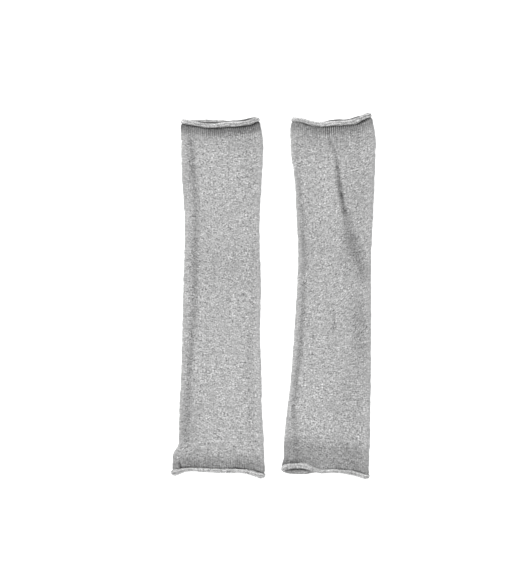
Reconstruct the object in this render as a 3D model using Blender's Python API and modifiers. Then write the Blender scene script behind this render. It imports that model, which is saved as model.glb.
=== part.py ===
"""Pair of leg warmers: two knitted tubes with self-rolled edges, laid flat side by side.

Metres, +Z up. The cloth rests on Z = 0, +Y runs to the top edges and +X to the right, seen from above.
The origin is on the resting plane, under the middle of the pair.
"""
import math
from collections import namedtuple

import bmesh
import bpy
import numpy as np
from mathutils import Vector

MM = 0.001

# Cloth, in millimetres. The layers' spacing is measured between the middles of their walls.
WALL = 2.0
LAYER_SPACING = 2.8
SIDE_SPACING = 3.7
END_SPACING = 2.9
SIDE_BULGE_WIDTH = 9.0

# The edge of jersey rolls outwards. The roll is a little wider than it is high, from its own weight, and
# turns less far round the sides.
ROLL_HALF_WIDTH = 2.5
ROLL_HALF_HEIGHT = 2.1
ROLL_TURN = math.radians(276)
SIDE_ROLL_TURN = math.radians(200)
ROLL_STEPS = 8
RISE_LENGTH = 30.0
CORNER_TUCK_LENGTH = 5.5

# Mesh resolution: rows along a tube, and columns round it.
BODY_ROWS = 24
END_CROWDING = 0.74
FRONT_STEPS = (4, 9, 6)
FOLD_CROWDING = 0.6
BACK_STEPS = 9
SIDE_STEPS = 5

# The wall's raised lip lies this many fold widths to the left of its trough.
LIP_OFFSET = 1.7

# Outline of a laid tube, its rolls included: height on the page, then the left and right edges.
Outline = namedtuple("Outline", "up left right")
# A rolled end, from the left edge (0) to the right (1): height of the front and the back layer's roll,
# and how much wider than the others the front layer's roll is.
RolledEnd = namedtuple("RolledEnd", "across front back roll")
# A soft trough pressed into the front layer: its line, its depth and half width, and the lip on its left.
Fold = namedtuple("Fold", "up across depth width lip")

LEFT_TUBE = {
    "name": "left_leg_warmer",
    "outline": [
        Outline(-243, -141.2, -10.6),
        Outline(-232, -136.6, -11.8),
        Outline(-225, -136.4, -12.6),
        Outline(-217, -136.4, -12.5),
        Outline(-210, -134.2, -12.7),
        Outline(-204, -130.2, -12.9),
        Outline(-187, -128.2, -13.4),
        Outline(-154, -127.4, -15.6),
        Outline(-114, -125.2, -15.9),
        Outline(-49, -123.4, -18.0),
        Outline(16, -122.0, -16.7),
        Outline(65, -120.2, -18.3),
        Outline(105, -120.2, -18.4),
        Outline(162, -123.9, -15.4),
        Outline(218, -125.1, -14.8),
        Outline(242, -125.8, -19.3),
    ],
    "top": [
        RolledEnd(0.00, 235.6, 235.3, 0.95),
        RolledEnd(0.12, 233.2, 234.6, 0.90),
        RolledEnd(0.30, 230.3, 235.2, 0.68),
        RolledEnd(0.42, 230.1, 235.0, 0.74),
        RolledEnd(0.60, 231.9, 233.9, 1.00),
        RolledEnd(0.74, 232.2, 234.4, 0.95),
        RolledEnd(0.84, 233.4, 236.0, 0.92),
        RolledEnd(0.93, 235.0, 237.6, 0.85),
        RolledEnd(1.00, 237.6, 238.8, 0.80),
    ],
    "bottom": [
        RolledEnd(0.00, -237.6, -236.6, 1.40),
        RolledEnd(0.08, -234.5, -233.0, 0.80),
        RolledEnd(0.34, -234.3, -233.0, 0.62),
        RolledEnd(0.62, -235.4, -233.8, 0.70),
        RolledEnd(0.76, -235.2, -233.8, 0.60),
        RolledEnd(0.88, -237.4, -236.0, 0.85),
        RolledEnd(1.00, -241.8, -240.0, 0.95),
    ],
    "folds": [
        [
            Fold(235, -112.5, 0.0, 4.0, 0.0),
            Fold(205, -111.0, 0.4, 4.4, 0.6),
            Fold(130, -105.2, 0.5, 4.4, 0.8),
            Fold(50, -105.4, 0.5, 4.8, 1.0),
            Fold(-20, -107.2, 0.5, 4.4, 0.8),
            Fold(-90, -112.4, 0.5, 4.0, 0.8),
            Fold(-150, -114.8, 0.4, 4.6, 0.5),
            Fold(-185, -117.0, 0.2, 5.0, 0.3),
            Fold(-235, -118.0, 0.0, 4.5, 0.0),
        ],
        [
            Fold(235, -30.0, 0.0, 6.0, 0.0),
            Fold(150, -24.5, 0.3, 6.0, 0.0),
            Fold(40, -25.0, 0.4, 6.0, 0.0),
            Fold(-80, -31.0, 0.4, 6.5, 0.0),
            Fold(-170, -30.0, 0.2, 6.5, 0.0),
            Fold(-235, -30.0, 0.0, 6.0, 0.0),
        ],
    ],
}

RIGHT_TUBE = {
    "name": "right_leg_warmer",
    "outline": [
        Outline(-244, 9.4, 130.3),
        Outline(-232, 9.8, 128.6),
        Outline(-219, 13.0, 129.3),
        Outline(-195, 14.0, 130.6),
        Outline(-162, 17.5, 130.8),
        Outline(-122, 22.5, 131.6),
        Outline(-73, 26.5, 131.9),
        Outline(-25, 29.5, 132.1),
        Outline(16, 32.0, 132.1),
        Outline(56, 33.4, 132.3),
        Outline(113, 30.8, 135.0),
        Outline(162, 28.0, 137.0),
        Outline(186, 24.5, 137.8),
        Outline(213, 22.6, 138.3),
        Outline(245, 24.3, 132.4),
    ],
    "top": [
        RolledEnd(0.00, 238.4, 237.4, 0.80),
        RolledEnd(0.08, 237.2, 236.0, 0.75),
        RolledEnd(0.18, 234.2, 233.0, 0.80),
        RolledEnd(0.30, 232.1, 232.0, 0.95),
        RolledEnd(0.40, 232.1, 232.6, 0.90),
        RolledEnd(0.52, 233.2, 235.2, 0.90),
        RolledEnd(0.72, 234.2, 236.0, 0.95),
        RolledEnd(0.83, 236.5, 238.6, 1.05),
        RolledEnd(0.93, 240.8, 241.6, 1.10),
        RolledEnd(1.00, 243.9, 243.4, 1.00),
    ],
    "bottom": [
        RolledEnd(0.00, -231.8, -233.8, 1.15),
        RolledEnd(0.08, -228.8, -236.3, 1.10),
        RolledEnd(0.25, -229.0, -236.3, 1.10),
        RolledEnd(0.36, -233.0, -235.0, 0.90),
        RolledEnd(0.46, -235.8, -233.6, 0.60),
        RolledEnd(0.58, -235.3, -233.4, 0.54),
        RolledEnd(0.72, -236.1, -234.4, 0.62),
        RolledEnd(0.84, -238.0, -236.4, 0.78),
        RolledEnd(0.93, -240.6, -239.2, 0.75),
        RolledEnd(1.00, -243.2, -241.5, 0.80),
    ],
    "folds": [
        [
            Fold(235, 33.0, 0.0, 3.0, 0.0),
            Fold(160, 34.5, 0.3, 3.4, 0.3),
            Fold(90, 40.5, 0.4, 3.4, 0.4),
            Fold(10, 41.8, 0.4, 3.4, 0.5),
            Fold(-60, 37.4, 0.5, 3.4, 0.7),
            Fold(-107, 32.6, 0.5, 3.4, 0.7),
            Fold(-155, 27.8, 0.5, 3.4, 0.6),
            Fold(-195, 31.0, 0.3, 4.0, 0.2),
            Fold(-235, 32.0, 0.0, 4.0, 0.0),
        ],
        [
            Fold(240, 70.0, 0.0, 3.0, 0.0),
            Fold(216, 75.0, 0.3, 2.4, 0.5),
            Fold(190, 84.0, 0.5, 2.8, 1.4),
            Fold(150, 89.4, 0.5, 3.8, 2.4),
            Fold(113, 96.6, 0.5, 4.4, 2.0),
            Fold(90, 103.0, 0.5, 9.5, 0.6),
            Fold(60, 114.0, 0.4, 12.5, 0.3),
            Fold(30, 122.0, 0.3, 10.0, 0.3),
            Fold(0, 124.0, 0.1, 8.0, 0.0),
            Fold(-60, 118.0, 0.1, 8.0, 0.0),
            Fold(-235, 112.0, 0.0, 6.0, 0.0),
        ],
    ],
}


def read_table(rows, column, place):
    """Value of a table's column at one place, on a smooth curve through the rows."""
    rows = sorted(rows)
    places = np.array([row[0] for row in rows], dtype=float)
    values = np.array([getattr(row, column) for row in rows], dtype=float)
    place = float(np.clip(place, places[0], places[-1]))
    slopes = np.gradient(values, places)
    index = int(np.clip(np.searchsorted(places, place) - 1, 0, len(rows) - 2))
    length = places[index + 1] - places[index]
    share = (place - places[index]) / length
    start = (1 + 2 * share) * (1 - share) ** 2 * values[index]
    start += share * (1 - share) ** 2 * length * slopes[index]
    finish = share**2 * (3 - 2 * share) * values[index + 1]
    finish += share**2 * (share - 1) * length * slopes[index + 1]
    return start + finish


def mix(first, second, share):
    return first + (second - first) * share


def ease_out(distance, length):
    """1 at no distance, falling smoothly to 0 at the given length."""
    share = min(max(distance / length, 0.0), 1.0)
    return 1 - share * share * (3 - 2 * share)


def crowded(steps, crowding):
    """Shares from 0 to 1 that lie closer together near both ends."""
    shares = np.arange(steps + 1) / steps
    return shares - crowding * np.sin(2 * math.pi * shares) / (2 * math.pi)


def height_on_page(tube, across, along, layer):
    """Height of a point that lies a share along the tube, between the rolls of its own layer."""
    bottom = read_table(tube["bottom"], layer, across)
    top = read_table(tube["top"], layer, across)
    return mix(bottom, top, along)


def end_distance(tube, across, up, layer):
    """Distance from a layer's nearer rolled end."""
    bottom = read_table(tube["bottom"], layer, across)
    top = read_table(tube["top"], layer, across)
    return min(up - bottom, top - up)


def sides(tube, up, end_gap):
    """Outer left and right edges of the wall, drawn in at the corners by the width of the roll there."""
    tuck = 2 * ROLL_HALF_HEIGHT * ease_out(end_gap, CORNER_TUCK_LENGTH)
    left = read_table(tube["outline"], "left", up) + tuck
    right = read_table(tube["outline"], "right", up) - tuck
    return left, right


def back_rise(tube, across, up):
    """How far the back layer's roll, which lies under it, lifts the cloth off the floor."""
    gap = end_distance(tube, across, up, "back")
    return 2 * ROLL_HALF_HEIGHT * ease_out(gap, RISE_LENGTH)


def layer_spacing(from_side, end_gap):
    """Spacing of the two layers: wider in the rounded side folds, narrow between the rolls."""
    loose = mix(LAYER_SPACING, SIDE_SPACING, ease_out(from_side, SIDE_BULGE_WIDTH))
    return mix(loose, END_SPACING, ease_out(end_gap, RISE_LENGTH))


def fold_relief(tube, x, up):
    """Height that the troughs and their lips add to the front layer."""
    relief = 0.0
    for fold in tube["folds"]:
        width = read_table(fold, "width", up)
        offset = (x - read_table(fold, "across", up)) / width
        relief -= read_table(fold, "depth", up) * math.exp(-offset * offset)
        relief += read_table(fold, "lip", up) * math.exp(-((offset + LIP_OFFSET) ** 2))
    return relief


def front_shares(tube, along):
    """Shares across the front for its columns, which follow the lines of the two folds."""
    up = height_on_page(tube, 0.5, along, "front")
    left, right = sides(tube, up, RISE_LENGTH)
    knots = [0.0]
    for fold in tube["folds"]:
        knots.append((read_table(fold, "across", up) - left) / (right - left))
    knots.append(1.0)
    shares = [0.0]
    for start, finish, steps in zip(knots, knots[1:], FRONT_STEPS):
        for share in crowded(steps, FOLD_CROWDING)[1:]:
            shares.append(mix(start, finish, share))
    return shares


def flat_point(tube, across, along, layer):
    """A point of the front or back layer, in the middle of its wall."""
    up = height_on_page(tube, across, along, layer)
    end_gap = end_distance(tube, across, up, layer)
    left, right = sides(tube, up, end_gap)
    inset = (WALL + layer_spacing(0.0, end_gap)) / 2
    x = mix(left + inset, right - inset, across)
    z = WALL / 2 + back_rise(tube, across, up)
    if layer == "front":
        from_side = min(x - left, right - x) - inset
        z += layer_spacing(from_side, end_gap) + fold_relief(tube, x, up)
    return np.array((x, up, z))


def side_points(start, finish, outward):
    """The rounded fold at a side of the tube, from one layer's edge to the other's."""
    middle = (start + finish) / 2
    reach = abs(finish[2] - start[2]) / 2
    points = []
    for step in range(1, SIDE_STEPS):
        turn = math.pi * step / SIDE_STEPS
        point = mix(middle, start, math.cos(turn))
        points.append(point + np.array((outward * reach * math.sin(turn), 0.0, 0.0)))
    return points


def ring(tube, along):
    """One closed section of the tube: the back left to right, then the front right to left."""
    back = [flat_point(tube, share, along, "back") for share in np.linspace(0, 1, BACK_STEPS + 1)]
    front = [flat_point(tube, share, along, "front") for share in reversed(front_shares(tube, along))]
    right_side = side_points(back[-1], front[0], 1)
    left_side = side_points(front[-1], back[0], -1)
    return back + right_side + front + left_side


def outward_directions(points):
    """Unit directions out of a ring, square to it and level with its section."""
    directions = []
    for index, point in enumerate(points):
        run = points[(index + 1) % len(points)] - points[index - 1]
        length = math.hypot(run[0], run[2])
        directions.append(np.array((run[2], 0.0, -run[0])) / length)
    return directions


def roll_width(tube, end, point, direction):
    """Half width of the roll: the table's on the front layer, fading to the plain one round the side."""
    left, right = sides(tube, point[1], 0.0)
    across = (point[0] - left) / (right - left)
    widening = read_table(tube[end], "roll", across)
    return ROLL_HALF_WIDTH * mix(1.0, widening, max(direction[2], 0.0))


def rolled_point(point, way, width, heading, share):
    """A point a share along the roll's spiral, which turns less where it goes round a side of the tube."""
    turn = mix(ROLL_TURN, SIDE_ROLL_TURN, way[0] ** 2) * share
    onward = np.array((0.0, heading * width * math.sin(turn), 0.0))
    return point + onward + ROLL_HALF_HEIGHT * (1 - math.cos(turn)) * way


def rolled_rings(tube, end, points, heading):
    """Rings that carry the wall outwards and round on itself beyond an end of the tube."""
    directions = outward_directions(points)
    widths = [roll_width(tube, end, point, way) for point, way in zip(points, directions)]
    rings = []
    for step in range(1, ROLL_STEPS + 1):
        share = step / ROLL_STEPS
        rings.append([
            rolled_point(point, way, width, heading, share)
            for point, way, width in zip(points, directions, widths)
        ])
    return rings


def tube_rings(tube):
    """All rings of a tube, from the free edge of the bottom roll to that of the top roll."""
    body = [ring(tube, along) for along in crowded(BODY_ROWS, END_CROWDING)]
    bottom_roll = rolled_rings(tube, "bottom", body[0], -1)
    top_roll = rolled_rings(tube, "top", body[-1], 1)
    return bottom_roll[::-1] + body + top_roll


def knit_material(name):
    """Pale grey heather jersey."""
    material = bpy.data.materials.new(name)
    material.use_nodes = True
    shader = material.node_tree.nodes["Principled BSDF"]
    shader.inputs["Base Color"].default_value = (0.47, 0.47, 0.47, 1.0)
    shader.inputs["Roughness"].default_value = 0.9
    shader.inputs["Metallic"].default_value = 0.0
    shader.inputs["Sheen Weight"].default_value = 0.3
    return material


def loft(name, rings, middle):
    """Open surface through the rings, in metres, with its origin at the given point of the page."""
    surface = bmesh.new()
    grid = []
    for points in rings:
        grid.append([surface.verts.new((Vector(point) - middle) * MM) for point in points])
    for lower, upper in zip(grid, grid[1:]):
        for index in range(len(lower)):
            following = (index + 1) % len(lower)
            surface.faces.new((lower[index], lower[following], upper[following], upper[index]))
    mesh = bpy.data.meshes.new(name)
    surface.to_mesh(mesh)
    surface.free()
    mesh.shade_smooth()
    return mesh


def add_leg_warmer(tube, rings, middle, collection, parent):
    """One tube of cloth: the lofted middle of its wall, thickened to both sides."""
    mesh = loft(tube["name"], rings, middle)
    mesh.materials.append(knit_material(tube["name"] + "_jersey"))
    leg_warmer = bpy.data.objects.new(tube["name"], mesh)
    collection.objects.link(leg_warmer)
    leg_warmer.parent = parent
    wall = leg_warmer.modifiers.new("wall", "SOLIDIFY")
    wall.thickness = WALL * MM
    wall.offset = 0.0
    return leg_warmer


def middle_of_pair(all_rings):
    """Middle of the pair on the page, at the height of the floor."""
    points = np.array([point for rings in all_rings for points in rings for point in points])
    middle = (points.min(axis=0) + points.max(axis=0)) / 2
    return Vector((middle[0], middle[1], 0.0))


def main():
    for leftover in list(bpy.data.objects):
        bpy.data.objects.remove(leftover, do_unlink=True)
    collection = bpy.data.collections.new("pair_of_leg_warmers")
    bpy.context.scene.collection.children.link(collection)
    pair = bpy.data.objects.new("pair_origin", None)
    collection.objects.link(pair)
    tubes = (LEFT_TUBE, RIGHT_TUBE)
    all_rings = [tube_rings(tube) for tube in tubes]
    middle = middle_of_pair(all_rings)
    for tube, rings in zip(tubes, all_rings):
        add_leg_warmer(tube, rings, middle, collection, pair)


main()
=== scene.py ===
"""Looks of a pair of jersey leg warmers: two knitted tubes with self-rolled edges, laid flat.

Each tube is one closed wall of cloth on the form of its solid. The stitches are modelled on the side that
shows. Tables are in millimetres on the page, with +Y to the top edges. Meshes are in metres.
"""
import math
from collections import namedtuple

import bpy
import numpy as np
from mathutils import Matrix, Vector


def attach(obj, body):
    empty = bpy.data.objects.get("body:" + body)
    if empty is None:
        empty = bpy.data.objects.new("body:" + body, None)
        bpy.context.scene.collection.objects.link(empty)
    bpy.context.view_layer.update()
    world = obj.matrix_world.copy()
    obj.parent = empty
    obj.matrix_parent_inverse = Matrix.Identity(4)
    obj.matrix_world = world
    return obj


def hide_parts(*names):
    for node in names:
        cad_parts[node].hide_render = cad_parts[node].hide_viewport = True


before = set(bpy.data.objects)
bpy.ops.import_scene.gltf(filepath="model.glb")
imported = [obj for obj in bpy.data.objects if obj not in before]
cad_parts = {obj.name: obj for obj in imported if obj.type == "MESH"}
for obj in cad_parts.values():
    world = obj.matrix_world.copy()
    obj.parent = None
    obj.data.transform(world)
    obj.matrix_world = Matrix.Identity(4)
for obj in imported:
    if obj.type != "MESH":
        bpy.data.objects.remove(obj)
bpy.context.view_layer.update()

MM = 0.001

# Cloth, in millimetres. The layers' spacing is measured between the middles of their walls.
WALL = 2.0
LAYER_SPACING = 2.8
SIDE_SPACING = 3.7
END_SPACING = 2.9
SIDE_BULGE_WIDTH = 9.0

# The edge of jersey rolls outwards. The roll is a little wider than it is high, from its own weight, and
# turns less far round the sides. The layers rise to the rolls, and the corners are drawn in beside them.
ROLL_HALF_WIDTH = 2.5
ROLL_HALF_HEIGHT = 2.1
ROLL_TURN = math.radians(276)
SIDE_ROLL_TURN = math.radians(200)
RISE_LENGTH = 30.0
CORNER_TUCK_LENGTH = 5.5

# How uneven the cloth's edges and the rolls' widths are, and the lengths of the waves that make them so.
EDGE_RIPPLE = 0.30
ROLL_RIPPLE = 0.12
WANDER_LENGTHS = (1.9, 3.1, 5.3)

# How far left of a fold's trough its lip lies, in half widths of the fold.
LIP_OFFSET = 1.7

# Stitches: wales run along a tube and courses round it. The layer underneath is modelled plain. The wrong
# side keeps all its rows on the rolls and just inside them, and between them fewer, crowded towards the ends.
LAYER_WALES = 39
SIDE_WALES = 2
WALES = 2 * (LAYER_WALES + SIDE_WALES)
WALE_COLUMNS = 4
BODY_COURSES = 194
COURSE_ROWS = 2
COURSE_LENGTH = 2.4
ROLL_COURSES = 4
ROLL_COURSE_ROWS = 4
ROLL_ROWS = ROLL_COURSES * ROLL_COURSE_ROWS
INSIDE_ROWS = 15
INSIDE_END_ROWS = 2
INSIDE_CROWDING = 0.74
# The thickness of the cut edge, in courses, on the stitch map.
EDGE_COURSES = 0.9

# The right side's stitches: the height and slant of their V legs, the courses beside the rolls in which the
# slant fades out, how much a leg swells once a course, how full the stitch is between its legs, and the mean
# height that is taken off.
KNIT_DEPTH = 0.42
KNIT_SLANT = 0.55
SLANT_FADE_COURSES = 3
LEG_SWELL = 0.3
STITCH_FILL = 0.3
STITCH_LEVEL = 0.35
# How uneven single stitches are, within limits, and how much of their height is left round the sides.
STITCH_UNEVENNESS = 0.35
LEAST_STITCH = 0.4
MOST_STITCH = 1.5
SIDE_RELIEF = 0.35
SIDE_RELIEF_WALES = 1.0
# Near its ends the cloth is pulled along, so its wales stand out as ribs, some for longer than others.
RIB_DEPTH = 0.60
RIB_LEVEL = 0.5
RIB_UNEVENNESS = 0.4
PULLED_LENGTH = 31.0
PULLED_UNEVENNESS = 0.35
# The wrong side's ridges lie so that a groove follows the top of a roll. They wander along it in two waves,
# each turning so many radians a wale, and bow a little at every wale.
PURL_DEPTH = 0.60
RIDGE_START = 0.11
RIDGE_DRIFT = 0.14
RIDGE_WAVE = 0.55
RIDGE_SECOND_WAVE = 1.3
RIDGE_SECOND_SHARE = 0.6
RIDGE_BOW = 0.12
RIDGE_LEVEL = 0.4
RIDGE_UNEVENNESS = 0.35

# Colour of the cloth. Scales are in periods for each wale, course and unit, and contrasts are shares of the
# grey. The layers of noise are read at places of their own.
JERSEY_GREY = 0.41
DARKEST_FIBRE = 0.05
LIGHTEST_FIBRE = 0.9
NOISE_SPREAD = 4.0
YARN_SCALE = (0.36, 0.52, 1.0)
YARN_DETAIL = 3.0
YARN_ROUGHNESS = 0.85
YARN_CONTRAST = 0.48
FLECK_SCALE = (1.15, 1.3, 1.0)
FLECK_PLACE = 3.0
FLECK_DETAIL = 1.0
FLECK_CONTRAST = 0.52
WHITE_FLECK_START = 0.55
WHITE_FLECK_CONTRAST = 0.7
CLOUD_SCALE = (0.16, 0.13, 1.0)
CLOUD_PLACE = 7.0
CLOUD_DETAIL = 2.0
CLOUD_CONTRAST = 0.07
CLOUD_CALM = 0.35
# How much calmer the mottling is where the cloth is pulled, on the rolls and at the sides.
PULLED_CALM = 0.45
ROLL_CALM = 0.25
SIDE_CALM = 0.5
SIDE_CALM_WIDTH = 8.0
MOST_CALM = 0.75

# Surface of the cloth: fine fibres in the bump, and a matte, slightly furry finish.
FIBRE_SCALE = (6.0, 9.0, 1.0)
FIBRE_DETAIL = 3.0
FIBRE_ROUGHNESS = 0.6
FIBRE_RELIEF = 0.10
CLOTH_ROUGHNESS = 0.92
CLOTH_SPECULAR = 0.2
SHEEN = 0.3
SHEEN_ROUGHNESS = 0.5

# Light that the cloth's own form takes from it, painted into its colour as shade. First, how much darker the
# grooves are painted than the stitches: in loose cloth, in pulled cloth and between the ridges of the wrong
# side.
RELIEF_CONTRAST = 0.20
PULLED_CONTRAST = 0.85
PURL_CONTRAST = 1.0
# How unevenly the folds lose light, and the least that is left to the right side.
FOLD_UNEVENNESS = 0.22
LEAST_LIGHT = 0.1
# The painted shadow line beside a roll: its width, its unevenness, and how much of the uneven wave it
# runs through.
CONTACT_WIDTH = 1.3
CONTACT_UNEVENNESS = 0.3
CONTACT_RUN = 110.0
# The back roll is painted in shade under the front one. The painted shadow of the gap between them is darkest
# at the front roll's edge, and fades out over a width on the back roll. On the front roll it is weaker and
# narrower, and lies a little inside the edge. It is looked for only so many courses in from the rolls.
BACK_ROLL_SHADE = 0.22
GAP_WIDTH = 1.8
GAP_COURSES = 8.0
GAP_INSET = 0.6
GAP_EDGE_WIDTH = 0.9
GAP_EDGE_SHARE = 0.5
LEAST_GAP_LIGHT = 0.06
# Inside an open end the wrong side grows dark with painted shade over so many courses, from a place short
# of the roll.
MOUTH_SHADE = 0.9
MOUTH_EDGE = -1.2
MOUTH_COURSES = 1.5

# The photograph's frame: its size, the pair's origin in it and a pixel's size at the cloth. Then the camera's
# height above the cloth and the cloth's above the floor. Lengths are in metres.
IMAGE_WIDTH_PX = 532
IMAGE_HEIGHT_PX = 585
PAIR_X_PX = 273.6
PAIR_Y_PX = 295.75
PIXEL_SIZE = 0.00135
CAMERA_HEIGHT = 2.2
CLOTH_HEIGHT = 0.006

# Stage and light, in metres and watts.
FLOOR_SIZE = 6.0
FLOOR_GREY = 0.93
FLOOR_GLOW = 0.6
WORLD_STRENGTH = 0.735
KEY_PLACE = (-2.0, 3.0, 4.0)
KEY_SIZE = 2.4
KEY_POWER = 190.0

# The edges of the tube on the page at one place up it.
Outline = namedtuple("Outline", "up left right")
# A rolled end at one place across: where each layer's roll begins, and the roll's width as a share of the
# usual one.
RolledEnd = namedtuple("RolledEnd", "across front back roll")
# A lengthwise trough: its place, depth, half width, the lip's height on its left, and the light it loses.
Fold = namedtuple("Fold", "up across depth width lip shade")
# A small wrinkle in the front layer, from one point of the page to another: its height, its half width and
# the light that it loses.
Wrinkle = namedtuple("Wrinkle", "x0 up0 x1 up1 height width shade")
# Looks along a rolled end: shares of light lost, as painted shade, beside the roll and in the gap between the
# front and the back roll, how far the wales stand out as ribs on the body, with painted shade in their
# grooves, and how strongly the courses on the roll are painted light and dark as strands.
EndLook = namedtuple("EndLook", "across contact gap ribs strands")
# A soft band beside a rolled end that loses light, full to a distance from the end and then fading out.
EndShade = namedtuple("EndShade", "end depth full fading")
# A soft patch of painted shade on the front layer, as if it lay a little away from the light: its middle, its
# half sizes and the light that it loses, less than 0 for painted light, as if it lay towards the light.
Shadow = namedtuple("Shadow", "x up width height depth")
# How steeply the yarn's rows rise to the right, where a tube is laid with a little twist.
Lean = namedtuple("Lean", "up rise")

# The columns round a tube: their share across, their turn round the side folds (0 on the back, pi on the
# front), the way out at the sides, and their wale.
Columns = namedtuple("Columns", "across turn outward wale")
# The middle surface of a wall as grids of points and of their course and wale coordinates, with where the
# front is, how far the cloth is pulled, and the relief of its right and wrong sides.
Wall = namedtuple("Wall", "points course wale front pull knit purl")
# A part of the bake's sheet, and a patch of the wall that is unfolded there.
Sheet = namedtuple("Sheet", "left right low high")
Patch = namedtuple("Patch", "indices course lean sheet flipped")

OUTSIDE_SHEET = Sheet(0.0, 0.495, 0.02, 0.98)
INSIDE_SHEET = Sheet(0.505, 1.0, 0.02, 0.98)
BOTTOM_EDGE_SHEET = Sheet(0.0, 1.0, 0.0, 0.01)
TOP_EDGE_SHEET = Sheet(0.0, 1.0, 0.99, 1.0)

LEFT_TUBE = {
    "name": "left_leg_warmer",
    "seed": 11,
    "outline": [
        Outline(-243, -141.2, -10.6),
        Outline(-232, -136.6, -11.8),
        Outline(-225, -136.4, -12.6),
        Outline(-217, -136.4, -12.5),
        Outline(-210, -134.2, -12.7),
        Outline(-204, -130.2, -12.9),
        Outline(-187, -128.2, -13.4),
        Outline(-154, -127.4, -15.6),
        Outline(-114, -125.2, -15.9),
        Outline(-49, -123.4, -18.0),
        Outline(16, -122.0, -16.7),
        Outline(65, -120.2, -18.3),
        Outline(105, -120.2, -18.4),
        Outline(162, -123.9, -15.4),
        Outline(218, -125.1, -14.8),
        Outline(242, -125.8, -19.3),
    ],
    "top": [
        RolledEnd(0.00, 235.6, 235.3, 0.95),
        RolledEnd(0.12, 233.2, 234.6, 0.90),
        RolledEnd(0.30, 230.3, 235.2, 0.68),
        RolledEnd(0.42, 230.1, 235.0, 0.74),
        RolledEnd(0.60, 231.9, 233.9, 1.00),
        RolledEnd(0.74, 232.2, 234.4, 0.95),
        RolledEnd(0.84, 233.4, 236.0, 0.92),
        RolledEnd(0.93, 235.0, 237.6, 0.85),
        RolledEnd(1.00, 237.6, 238.8, 0.80),
    ],
    "bottom": [
        RolledEnd(0.00, -237.6, -236.6, 1.40),
        RolledEnd(0.08, -234.5, -233.0, 0.80),
        RolledEnd(0.34, -234.3, -233.0, 0.62),
        RolledEnd(0.62, -235.4, -233.8, 0.70),
        RolledEnd(0.76, -235.2, -233.8, 0.60),
        RolledEnd(0.88, -237.4, -236.0, 0.85),
        RolledEnd(1.00, -241.8, -240.0, 0.95),
    ],
    "folds": [
        [
            Fold(235, -112.5, 0.0, 4.0, 0.0, 0.00),
            Fold(205, -111.0, 0.4, 4.4, 0.6, 0.24),
            Fold(130, -105.2, 0.5, 4.4, 0.8, 0.26),
            Fold(50, -105.4, 0.5, 4.8, 1.0, 0.30),
            Fold(-20, -107.2, 0.5, 4.4, 0.8, 0.28),
            Fold(-90, -112.4, 0.5, 4.0, 0.8, 0.28),
            Fold(-150, -114.8, 0.4, 4.6, 0.5, 0.21),
            Fold(-185, -117.0, 0.2, 5.0, 0.3, 0.14),
            Fold(-235, -118.0, 0.0, 4.5, 0.0, 0.00),
        ],
        [
            Fold(235, -30.0, 0.0, 6.0, 0.0, 0.00),
            Fold(150, -24.5, 0.3, 6.0, 0.0, 0.06),
            Fold(40, -25.0, 0.4, 6.0, 0.0, 0.09),
            Fold(-80, -31.0, 0.4, 6.5, 0.0, 0.10),
            Fold(-170, -30.0, 0.2, 6.5, 0.0, 0.07),
            Fold(-235, -30.0, 0.0, 6.0, 0.0, 0.00),
        ],
    ],
    "wrinkles": [
        Wrinkle(-127.5, -223.0, -124.0, -232.0, -0.4, 1.7, 0.44),
        Wrinkle(-95.0, 36.0, -28.0, 30.0, -0.3, 15.0, 0.0),
    ],
    "top_look": [
        EndLook(0.00, 0.20, 0.00, 0.60, 0.80),
        EndLook(0.12, 0.30, 0.30, 0.80, 0.85),
        EndLook(0.22, 0.38, 0.75, 1.00, 0.89),
        EndLook(0.34, 0.42, 1.30, 1.15, 0.94),
        EndLook(0.47, 0.38, 0.60, 1.10, 1.00),
        EndLook(0.62, 0.42, 0.35, 0.85, 0.97),
        EndLook(0.80, 0.42, 0.75, 1.05, 0.94),
        EndLook(0.92, 0.40, 0.80, 0.95, 0.92),
        EndLook(1.00, 0.15, 0.10, 0.50, 0.90),
    ],
    "bottom_look": [
        EndLook(0.00, 0.00, 0.00, 0.20, 0.50),
        EndLook(0.10, 0.50, 0.00, 0.30, 0.56),
        EndLook(0.30, 0.50, 0.00, 0.35, 0.68),
        EndLook(0.45, 0.45, 0.00, 0.45, 0.77),
        EndLook(0.68, 0.72, 0.00, 0.65, 0.76),
        EndLook(0.80, 0.55, 0.00, 0.55, 0.74),
        EndLook(0.86, 0.25, 0.00, 0.45, 0.73),
        EndLook(0.93, 0.50, 0.00, 0.35, 0.71),
        EndLook(1.00, 0.15, 0.00, 0.20, 0.70),
    ],
    "end_shades": [
        EndShade("top", 0.16, 6.0, 26.0),
        EndShade("top", 0.40, 8.0, 9.0),
        EndShade("bottom", 0.36, 9.0, 25.0),
    ],
    "shadows": [
        Shadow(-60.0, 42.0, 60.0, 26.0, 0.08),
        Shadow(-114.0, 184.0, 9.0, 50.0, 0.09),
        Shadow(-31.0, 184.0, 14.0, 40.0, 0.08),
        Shadow(-117.0, -178.0, 12.0, 34.0, 0.13),
        Shadow(-50.0, 204.0, 40.0, 9.0, 0.08),
        Shadow(-34.0, -120.0, 9.0, 60.0, 0.04),
        Shadow(-19.0, 20.0, 7.0, 150.0, -0.07),
        Shadow(-50.0, 221.0, 7.0, 6.0, 0.11),
        Shadow(-124.0, -211.0, 9.0, 8.0, -0.13),
        Shadow(-105.0, 223.0, 13.0, 9.0, -0.16),
        Shadow(-103.0, -229.0, 16.0, 6.0, 0.14),
        Shadow(-45.0, -229.0, 16.0, 6.0, 0.15),
        Shadow(-50.0, -115.0, 34.0, 85.0, -0.06),
    ],
    "leans": [
        Lean(-245, 0.00),
        Lean(0, -0.06),
        Lean(245, 0.00),
    ],
}

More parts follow.
